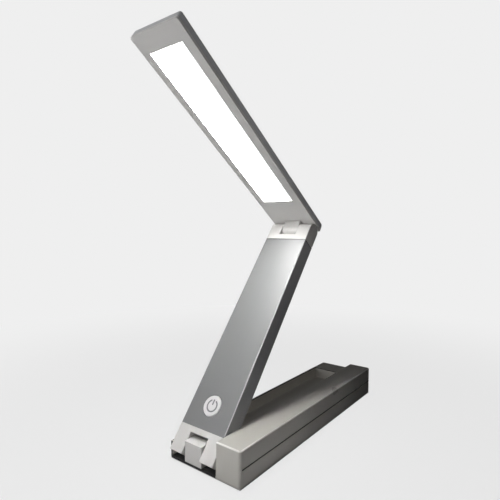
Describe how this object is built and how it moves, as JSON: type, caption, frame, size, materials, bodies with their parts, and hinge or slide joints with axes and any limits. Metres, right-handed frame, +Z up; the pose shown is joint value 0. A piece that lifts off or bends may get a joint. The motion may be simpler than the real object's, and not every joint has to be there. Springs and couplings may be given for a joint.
{
  "type": "folding desk lamp",
  "caption": "Folding desk lamp: a low tray with a battery rail beside it, a flat metal arm that folds into the tray and a slim head with a lit underside, with a round power button.",
  "frame": {"origin": "centre of the base's footprint, on the table plane under the anti-slip pads", "axes": "+Z up, +Y from the hinge end to the base's rear shelf, +X towards the battery rail; the arm stands up from the -Y end and the head leans out over it towards -Y"},
  "size_m": [0.068, 0.2784, 0.3053],
  "materials": {
    "base_plastic": "satin silver-grey lacquer on a moulded shell",
    "cap_plastic": "satin light grey",
    "sleeve_metal": "satin, fine grain along the arm",
    "head_plastic": "satin silver-grey",
    "frame_plastic": "matte warm grey",
    "diffuser_opal": "opal, lit from behind",
    "guide_clear": "clear",
    "reflector_white": "white film",
    "led_board": "white board with light chips",
    "button_plastic": "satin light grey",
    "symbol_print": "grey inlay",
    "inner_plastic": "black",
    "board": "green board",
    "cell_jacket": "printed jacket, plain here",
    "contact_metal": "nickel plate",
    "pin_steel": "ground",
    "screw_steel": "zinc plate",
    "washer": "slip washer",
    "cable_sleeve": "flat cable",
    "pad_rubber": "matte"
  },
  "bodies": {
    "base": {"base_tray": "base_plastic", "rail_cover": "base_plastic", "battery_door": "base_plastic", "door_screw": "screw_steel", "pad_left": "pad_rubber", "pad_centre": "pad_rubber", "pad_door_front": "pad_rubber", "pad_door_rear": "pad_rubber", "cell_1": "cell_jacket", "cell_2": "cell_jacket", "cell_3": "cell_jacket", "cell_4": "cell_jacket", "contact_plus": "contact_metal", "contact_minus": "contact_metal", "supply_board": "board", "supply_inlet": "contact_metal", "lower_lug": "cap_plastic", "lower_pin": "pin_steel", "lower_washer_left": "washer", "lower_washer_right": "washer", "lug_screw_left": "screw_steel", "lug_screw_right": "screw_steel"},
    "arm": {"arm_sleeve": "sleeve_metal", "lower_fork": "cap_plastic", "upper_fork": "cap_plastic", "arm_cable": "cable_sleeve", "fork_screw_low_left": "screw_steel", "fork_screw_low_right": "screw_steel", "fork_screw_high_left": "screw_steel", "fork_screw_high_right": "screw_steel", "switch_carrier": "inner_plastic", "switch_board": "board", "tact_switch": "inner_plastic"},
    "button": {"button_cap": "button_plastic", "symbol_ring": "symbol_print", "symbol_bar": "symbol_print"},
    "head": {"head_shell": "head_plastic", "head_frame": "frame_plastic", "diffuser": "diffuser_opal", "light_guide": "guide_clear", "reflector": "reflector_white", "led_strip": "led_board", "head_lug": "cap_plastic", "upper_pin": "pin_steel", "upper_washer_left": "washer", "upper_washer_right": "washer", "head_screw_front": "screw_steel", "head_screw_rear": "screw_steel"}
  },
  "joints": [
    {"name": "arm_hinge", "type": "hinge", "parent": "base", "child": "arm", "pos_m": [-0.0101, -0.1145, 0.0105], "axis": [1, 0, 0], "range_deg": [-45.6, 38.4]},
    {"name": "head_hinge", "type": "hinge", "parent": "arm", "child": "head", "pos_m": [-0.0101, 0.01283, 0.17116], "axis": [-1, 0, 0], "range_deg": [-85.6, 93.4]},
    {"name": "button_press", "type": "slide", "parent": "arm", "child": "button", "axis": [0, 0.7837, -0.6211], "range_m": [0, 0.0006], "stiffness_N_per_m": 2000, "springref_m": -0.0003}
  ]
}
